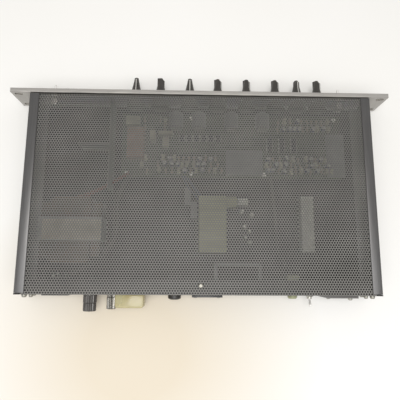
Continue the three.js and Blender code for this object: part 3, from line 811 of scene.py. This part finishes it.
def fuse():
    place = pivot("fuse_cap_turn")
    axis = at(place.x, REAR_FACE, place.z)
    barrel = [(0, -18), (7.0, -18), (7.0, 0.3), (8.1, 0.3), (8.1, 1.3), (8.1, 1.6)]
    barrel += [(8.1, 9.9), (7.8, 10.4), (5.6, 10.4), (5.6, -16), (0, -16)]
    part = fluted(softened(barrel, 0.1), 14, 0.9, 1.5, 10.4, 7.2)
    placed("fuse_holder_finished", part, axis, PHENOLIC, replaces=("fuse_holder",))
    placed("fuse_holder_nut", hexagon_nut(17.5, 3.0, 7.05, -5.0), axis, BLACK_PLASTIC)
    end = corners("fuse_cap")[1].y - REAR_FACE
    cap = [(0, 4.7), (5.2, 4.7), (5.2, 10.7), (7.8, 10.7)]
    cap += [(7.8, end - 0.7), (7.2, end), (5.0, end), (4.4, end - 0.4), (0, end - 0.4)]
    slot = bmesh.new()
    block(slot, (-4.6, end - 1.9, -0.75), (4.6, end + 1, 0.75))
    head = combined(fluted(softened(cap, 0.2), 14, 0.9, 10.6, end - 0.2, 6.2), slot, "DIFFERENCE")
    placed("fuse_cap_finished", head, axis, PHENOLIC, "fuse_cap", ("fuse_cap",))
    low, high = (corners("glass_fuse")[i].y - REAR_FACE for i in (0, 1))
    part = turned([(0, low + 0.3), (2.3, low + 0.3), (2.3, high - 0.3), (0, high - 0.3)], 32)
    placed("fuse_tube", part, axis, GLASS, "fuse_carrier", ("glass_fuse",))
    bm = bmesh.new()
    for start, stop in ((low, low + 4.6), (high - 4.6, high)):
        cup = [(0, start), (2.6, start), (2.6, stop), (0, stop)]
        append(bm, turned(softened(cup, 0.3), 32), axis)
    piece("fuse_ends", bm, NICKEL, "fuse_carrier")


def ground():
    place = pivot("ground_nut_turn")
    axis = at(place.x, REAR_FACE, place.z)
    stud = [(0, -10), *thread(2.0, -9.6, 0.0), (2.0, 0.3), (5.2, 0.3), (5.2, 3.2), (2.0, 3.2)]
    stud += [*thread(2.0, 3.6, 14.0), (1.5, 14.6), (0, 14.6)]
    bm = bmesh.new()
    append(bm, fluted(stud, 12, 1.0, 0.2, 3.25, 4.4), axis)
    append(bm, hexagon_nut(8.6, 2.6, 2.02, -4.4), axis)
    piece("ground_post_finished", bm, KNURL, replaces=("ground_post",))
    end = corners("ground_nut")[1].y - REAR_FACE
    grip = [(0, 15.6), (2.3, 15.6), (2.3, 3.5), (5.2, 3.5), (5.6, 3.9)]
    grip += [(5.6, end - 0.6), (5.0, end), (3.0, end), (2.6, end - 0.3), (0, end - 0.3)]
    part = fluted(softened(grip, 0.15), 12, 1.1, 3.5, end - 0.1, 4.5)
    placed("ground_nut_finished", part, axis, KNURL, "ground_nut", ("ground_nut",))


def terminals():
    refined("terminal_block", IVORY_BLOCK, 0.3)
    refined("terminal_cover", AMBER, 1.1, "terminal_cover", segments=3)
    centre = middle("terminal_cover")
    bm = bmesh.new()
    for step in (-1, 0, 1):
        x = centre.x + step * 9.27
        block(bm, (x - 3.6, REAR_FACE + 6.9, centre.z - 7), (x + 3.6, REAR_FACE + 7.6, centre.z + 7), 0.15)
        for z in (centre.z - 3.7, centre.z + 3.7):
            append(bm, pan_screw(2.6, 2.0, crossed=False), at(x, REAR_FACE + 7.6, z))
    piece("terminal_screws", bm, NICKEL)


def inlet():
    refined("ac_inlet", BLACK_PLASTIC, 0.25)
    centre = middle("ac_inlet")
    bm = bmesh.new()
    for x, z in ((-7, -2.5), (7, -2.5), (0, 2)):
        low = (centre.x + x - 1.1, REAR_FACE - 15.9, MID_HEIGHT + z - 2.1)
        high = (centre.x + x + 1.1, REAR_FACE - 3.8, MID_HEIGHT + z + 2.1)
        block(bm, low, high, 0.5)
        tab = (centre.x + x, REAR_FACE - 19, MID_HEIGHT + z)
        block(bm, (tab[0] - 0.4, tab[1] - 6, tab[2] - 3), (tab[0] + 0.4, tab[1] + 0.5, tab[2] + 3), 0.2)
    piece("inlet_blades", bm, NICKEL)


def selector():
    refined("voltage_selector", BLACK_PLASTIC, 0.3)
    refined("selector_slider", WHITE_SLIDER, 0.25, "selector_slider")
    low, high = corners("voltage_selector")
    centre = middle("voltage_selector")
    bm = bmesh.new()
    for x in (low.x + 4.4, high.x - 4.4):
        append(bm, pan_screw(2.4, 1.3), at(x, high.y - 0.1, centre.z))
    piece("selector_screws", bm, NICKEL)


def jacks():
    refined("input_jack", BLACK_PLASTIC, 0.3)
    refined("output_jack", KHAKI, 0.3)
    spots = {node: at(middle(node).x, REAR_FACE, MID_HEIGHT) for node in ("input_jack", "output_jack")}
    ring = [(5.1, 0.35), (7.85, 0.35), (7.85, 4.4), (7.1, 5.0), (5.1, 5.0), (5.1, 0.35)]
    ribbed = fluted(ring, 24, 0.4, 1.0, 4.6, 7.3)
    placed("input_jack_ring", ribbed, spots["input_jack"], DARK_NUT)
    inner, outer = JACK_RADIUS, JACK_RADIUS + 0.5
    for node, reach, finish in (("input_jack", 5.9, NICKEL), ("output_jack", 4.4, BRASS)):
        sleeve = [(inner, -2.9), (outer, -2.9), (outer, reach), (inner, reach), (inner, -2.9)]
        bm = turned(sleeve, 48)
        block(bm, (-0.8, -18, 2.5), (0.8, -6, 3.2), 0.2)
        placed(node + "_sleeve", bm, spots[node], finish)
    nose = [(3.9, 3.08), (4.55, 3.08), (4.55, 4.58), (3.9, 4.58), (3.9, 3.08)]
    washer = [(4.62, 0.32), (5.8, 0.32), (5.8, 0.8), (4.62, 0.8), (4.62, 0.32)]
    bm = turned(nose, 40)
    append(bm, hexagon_nut(10.0, 2.4, 4.62, 0.9))
    append(bm, turned(washer, 32))
    placed("output_jack_nut", bm, spots["output_jack"], BRASS)


def balanced_socket():
    refined("balanced_output", GREY_PLATE, 0.35)
    centre = Vector((BALANCED_X, REAR_FACE, MID_HEIGHT))
    liner = [(0, -14.0), (9.95, -14.0), (9.95, 3.0), (9.3, 3.3), (9.3, -13.2), (0, -13.2)]
    bm = bmesh.new()
    append(bm, turned(softened(liner, 0.15), 64), at(*centre))
    key_low = (centre.x - 1.6, REAR_FACE - 13.5, centre.z + 7.4)
    block(bm, key_low, (centre.x + 1.6, REAR_FACE + 2.6, centre.z + 9.5), 0.3)
    piece("socket_liner", bm, BLACK_PLASTIC)
    pins = bmesh.new()
    for turn in (-1, 0, 1):
        angle = turn * 2.1
        spot = at(centre.x + 5 * math.sin(angle), REAR_FACE, centre.z - 5 * math.cos(angle))
        pin = [(0, -14), (1.22, -14), (1.22, -3.4), (0.8, -2.5), (0, -2.4)]
        append(pins, turned(softened(pin, 0.3), 24), spot)
    piece("socket_pins", pins, NICKEL)
    screws = bmesh.new()
    for x, z in ((-9.5, 11), (9.5, -11)):
        append(screws, pan_screw(2.7, 2.6), at(centre.x + x, REAR_FACE + 3.0, centre.z + z))
    piece("socket_screws", screws, NICKEL)


# ---- Under the cover ----


def behind(distance):
    """A place along Y, so many millimetres behind the front panel."""
    return PANEL_HIGH.y + distance


def wire(points, radius):
    """A closed round wire through points."""
    curve = bpy.data.curves.new("wire", "CURVE")
    curve.dimensions = "3D"
    curve.bevel_depth = radius
    curve.bevel_resolution = 2
    curve.resolution_u = 6
    curve.use_fill_caps = True
    line = curve.splines.new("BEZIER")
    line.bezier_points.add(len(points) - 1)
    for knot, point in zip(line.bezier_points, points):
        knot.co = point
        knot.handle_left_type = knot.handle_right_type = "AUTO"
    made = bpy.data.objects.new("wire", curve)
    bpy.context.scene.collection.objects.link(made)
    bpy.context.view_layer.update()
    mesh = bpy.data.meshes.new_from_object(made.evaluated_get(bpy.context.evaluated_depsgraph_get()))
    bm = bmesh.new()
    bm.from_mesh(mesh)
    bpy.data.objects.remove(made)
    bpy.data.curves.remove(curve)
    bpy.data.meshes.remove(mesh)
    bmesh.ops.remove_doubles(bm, verts=bm.verts, dist=1e-4)
    return bm


def chip(bodies, legs, x, y, width, length, pins):
    """A dual in-line chip lying along Y on the board, with its legs down both sides."""
    z = BOARD_HIGH.z
    block(bodies, (x - width / 2, y - length / 2, z + 1.2), (x + width / 2, y + length / 2, z + 4.6), 0.3, 1)
    for i in range(pins):
        along = y + (i - (pins - 1) / 2) * 2.54
        for side in (-1, 1):
            edge = x + side * (width / 2 + 0.5)
            block(legs, (edge - 0.45, along - 0.6, z - 0.3), (edge + 0.45, along + 0.6, z + 3.2))


def board_parts():
    """Chips, capacitors and resistors in rows, where the real board shows lighter and darker patches."""
    dice = random.Random(19)
    top = BOARD_HIGH.z
    bodies, legs, cans, films, browns, blues, rings = (bmesh.new() for _ in range(7))
    for i in range(6):
        chip(bodies, legs, 24.5 - 9.6 * i, behind(48), 6.4, 9.8, 4)
    for x in (-92, -108, -124):
        chip(bodies, legs, x, behind(56), 6.4, 20, 8)
    for x in (32.5, 2.5, -40, -81):
        shape = [(0, 0), (7.6, 0), (9.2, 1.2), (9.2, 2.6), (8.9, 3.1), (9.2, 3.6)]
        shape += [(9.2, 20.4), (8.2, 21.6), (0, 21.6)]
        append(cans, turned(softened(shape, 0.5), 40), at(x, behind(16), top + 9.4))
        lid = turned([(0, 21.5), (7.4, 21.5), (7.4, 21.9), (0, 21.9)], 32)
        append(rings, lid, at(x, behind(16), top + 9.4))
    block(films, (36, behind(41), top + 0.4), (55, behind(46), top + 12), 0.8)
    block(films, (59, behind(40), top + 0.4), (66, behind(54), top + 12), 0.8)
    block(films, (42, behind(49), top + 0.4), (50, behind(62), top + 9), 0.8)
    block(films, (98, behind(20), top + 0.4), (80, behind(33), top + 10), 0.8)
    for row, depth in enumerate((24, 34, 76, 84, 92)):
        x = -178.0
        while x < 68:
            x += dice.uniform(5.5, 9.5)
            crowded = row < 2 and -96 < x < 45
            covered = row > 1 and -86 < x < -28
            if crowded or covered or abs(x - 62) < 6:
                continue
            choice = dice.random()
            y = behind(depth + dice.uniform(-1.2, 1.2))
            if choice < 0.45:
                body = [(0, -3.4), (1.3, -3.4), (1.3, 3.4), (0, 3.4)]
                append(browns, turned(softened(body, 0.5, 2), 16), at(x, y, top + 2.2))
                append(legs, turned([(0, -5.2), (0.35, -5.2), (0.35, 5.2), (0, 5.2)], 8), at(x, y, top + 2.2))
            elif choice < 0.7:
                tall = dice.uniform(7, 11)
                can = [(0, 0), (3.0, 0), (3.0, tall), (0, tall)]
                append(blues, turned(softened(can, 0.5, 2), 24), upright(x, y, top + 0.2))
                append(rings, turned([(0, 0), (2.5, 0), (2.5, 0.3), (0, 0.3)], 24), upright(x, y, top + tall))
            else:
                block(films, (x - 2.0, y - 3.8, top + 0.4), (x + 2.0, y + 3.8, top + 7), 0.5, 1)
    piece("board_chips", bodies, CHIP_BLACK)
    piece("board_legs", legs, TINNED)
    piece("large_capacitors", cans, GREY_SLEEVE)
    piece("film_capacitors", films, OLIVE_BODY)
    piece("resistors", browns, TAN_BODY)
    piece("small_capacitors", blues, BLUE_SLEEVE)
    piece("capacitor_tops", rings, TINNED)
    hood = bmesh.new()
    block(hood, (-81, behind(65), top + 7), (-33, behind(99), top + 8.2), 0.5)
    for x in (-80.4, -34.6):
        block(hood, (x - 0.6, behind(66), top - 0.5), (x + 0.6, behind(98), top + 7.6), 0.2, 1)
    block(hood, (-190, behind(41), top + 5), (-167, behind(100), top + 6), 0.5)
    for x in (-189.4, -168.2):
        block(hood, (x - 0.6, behind(42), top - 0.5), (x + 0.6, behind(99), top + 5.6), 0.2, 1)
    piece("board_hood", hood, GREY_SLEEVE)


def board():
    refined("main_board", BOARD, 0.15, segments=1)
    board_parts()
    spacers = bmesh.new()
    screws = bmesh.new()
    floor_top = corners("bottom_plate")[1].z
    for x in (-180, -84, 12, 96):
        for depth in (19, 96):
            post = hexagon_nut(5.5, BOARD_LOW.z - floor_top, 1.5, 0)
            append(spacers, post, upright(x, behind(depth), floor_top))
            append(screws, pan_screw(2.7, 1.9), upright(x, behind(depth), BOARD_HIGH.z))
    piece("board_spacers", spacers, BRASS)
    piece("board_screws", screws, NICKEL)


def pots():
    lugs = bmesh.new()
    for i in range(1, 9):
        refined(f"pot_{i}", DULL_CAN, 0.4)
        refined(f"shaft_{i}", NICKEL, 0.25, f"control_{i}")
        place = pivot(f"control_{i}_turn")
        for step in (-1, 0, 1):
            x = place.x + step * 5
            block(lugs, (x - 0.9, behind(6), place.z - 17), (x + 0.9, behind(6.8), place.z - 11), 0.2, 1)
    piece("pot_lugs", lugs, TINNED)


def power_supply():
    refined("shield_partition", GREY_PLATE, 0.25)
    refined("mains_transformer", IRON, 0.8)
    refined("output_transformer", YELLOW_TAPE, 1.6, segments=3)
    refined("power_resistor", CERAMIC, 1.0, segments=3)
    refined("bypass_relay", ORANGE_CASE, 0.9, segments=3)
    low, high = corners("mains_transformer")
    top = high.z
    strap = bmesh.new()
    block(strap, (low.x - 1.6, behind(156.5), top + 0.1), (high.x + 1.6, behind(186), top + 1.1), 0.4)
    for x in (low.x - 1.6, high.x + 0.4):
        block(strap, (x, behind(156.5), 7.8), (x + 1.2, behind(186), top + 0.6), 0.3)
    piece("transformer_strap", strap, TINNED)
    label = bmesh.new()
    block(label, (low.x - 1.2, behind(160), top + 1.0), (high.x - 4, behind(184), top + 1.35), 0.1, 1)
    piece("transformer_label", label, CREAM_LABEL)
    winding = bmesh.new()
    for depth, stop in ((131.4, 133.2), (209.8, 211.6)):
        block(winding, (137, behind(depth), 11), (181, behind(stop), top - 3), 0.7)
    piece("transformer_winding", winding, COPPER_TAPE)
    bracket = bmesh.new()
    block(bracket, (-75, behind(211), 35.6), (-17, behind(214.6), 36.8), 0.3)
    for x in (-75, -21.5):
        block(bracket, (x, behind(211), 35.6), (x + 4.5, behind(234), 36.8), 0.3)
        block(bracket, (x, behind(232.8), 7.8), (x + 4.5, behind(234), 36.4), 0.3)
    piece("rear_bracket", bracket, GREY_SLEEVE)
    pale = bmesh.new()
    block(pale, (-61, behind(129.5), 17), (-47.6, behind(139), 27), 0.9)
    for x, depth in ((-57, 165), (-62.5, 171), (-57.5, 179), (-63, 185), (-53.5, 146), (-66, 150)):
        block(pale, (x - 2, behind(depth - 2.4), 7.9), (x + 2, behind(depth + 2.4), 23), 0.7)
    piece("pale_small_parts", pale, CERAMIC)
    slats = bmesh.new()
    for x, depth in ((16, 128), (8, 146)):
        block(slats, (x - 4, behind(depth - 13), 7.9), (x + 4, behind(depth + 9), 19), 0.8)
    piece("low_modules", slats, GREY_SLEEVE)


def wiring():
    """Loose wires between the boards, the transformers and the connectors."""
    dice = random.Random(5)
    secondary = [
        ((150, 134, 30), (128, 118, 20), (96, 97, 17)),
        ((160, 134, 30), (134, 122, 22), (92, 96, 17)),
    ]
    signal = [((2, 132, 22), (14, 118, 26), (24, 99, 17)), ((-4, 128, 22), (8, 112, 24), (18, 99, 17))]
    mains = [((172, 228, 26), (150, 222, 30), (112, 190, 20), (104, 120, 16), (90, 98, 17))]
    output = [((-113, 224, 20), (-100, 200, 14), (-96, 150, 12), (-90, 98, 17))]
    for name, finish, paths in (
        ("red_wires", RED_SLEEVE, secondary),
        ("blue_wires", BLUE_SLEEVE, signal),
        ("mains_wires", DARK_SLEEVE, mains),
        ("output_wires", DARK_SLEEVE, output),
    ):
        bm = bmesh.new()
        for path in paths:
            for copy in range(3):
                offset = Vector((dice.uniform(-3, 3), dice.uniform(-2, 2), dice.uniform(-1, 1)))
                append(bm, wire([Vector((x, behind(depth), z)) + offset for x, depth, z in path], 0.75))
        piece(name, bm, finish)


# ---- The object, its floor and its light ----


def sheet_of_floor():
    bm = bmesh.new()
    bmesh.ops.create_grid(bm, x_segments=1, y_segments=1, size=FLOOR_SIZE / 2)
    bmesh.ops.scale(bm, vec=(MM, MM, MM), verts=bm.verts)
    mesh = bpy.data.meshes.new("floor")
    bm.to_mesh(mesh)
    bm.free()
    floor = bpy.data.objects.new("floor", mesh)
    bpy.context.scene.collection.objects.link(floor)
    paper = Finish("floor_paper", rough=0.8)
    shadow_distance = paper.node("ShaderNodeVectorMath")
    shadow_distance.operation = "DISTANCE"
    shadow_distance.inputs[1].default_value = FLOOR_SHADOW_SPOT
    paper.link(paper.place, shadow_distance.inputs[0])
    mottled = paper.ramp(paper.noise(300, 2.0), (0.3, (0.93, 0.925, 0.9)), (0.7, (0.95, 0.945, 0.93)))
    # painted shadow: near one spot the floor turns a darker warm beige, fading out by 0.24 m
    painted_shadow = paper.ramp(paper.noise(200, 2.0), (0.3, (0.78, 0.7, 0.57)), (0.7, (0.8, 0.725, 0.6)))
    paper.colour(paper.mix(paper.spread(shadow_distance.outputs["Value"], 1.0, 0.0, 0.06, 0.24), mottled, painted_shadow))
    mesh.materials.append(paper.material)


def lamp(name, size, power, place, aim, colour=(1, 1, 1)):
    """A rectangular soft light; sizes and places in metres."""
    light = bpy.data.lights.new(name, "AREA")
    light.shape = "RECTANGLE"
    light.size, light.size_y = size
    light.energy = power
    light.color = colour
    made = bpy.data.objects.new(name, light)
    made.location = place
    made.rotation_euler = (Vector(aim) - Vector(place)).to_track_quat("-Z", "Y").to_euler()
    bpy.context.scene.collection.objects.link(made)


def lighting():
    world = bpy.data.worlds.new("studio")
    world.use_nodes = True
    background = world.node_tree.nodes["Background"]
    background.inputs["Color"].default_value = (1.0, 0.985, 0.96, 1)
    background.inputs["Strength"].default_value = 0.58
    bpy.context.scene.world = world
    lamp("ceiling", (1.8, 0.7), 8.4, (0, 0.72, 1.35), (0, 0.72, 0))
    lamp("key", (0.5, 0.5), 6.4, (0.05, 0.12, 1.4), (0, 0, 0), (1, 0.98, 0.95))


def camera():
    lens = bpy.data.cameras.new("camera")
    lens.sensor_width = 36
    lens.lens = 36.286
    lens.clip_start = 0.01
    made = bpy.data.objects.new("camera", lens)
    made.location = (0.01217, 0.10172, 0.53041)
    made.rotation_euler = [math.radians(angle) for angle in (9.925, -1.404, -179.645)]
    bpy.context.scene.collection.objects.link(made)
    bpy.context.scene.camera = made


def keep_sizes():
    """Defines a helper that turns a box's corners into plain floats; nothing is written."""
    def plain(box):
        return [[float(value) for value in corner] for corner in box]


case()
panel_screws()
feet()
knobs()
toggles()
panel_printing()
fuse()
ground()
terminals()
inlet()
selector()
jacks()
balanced_socket()
board()
pots()
power_supply()
wiring()
sheet_of_floor()
lighting()
camera()
bpy.context.scene.view_settings.view_transform = "Standard"
keep_sizes()
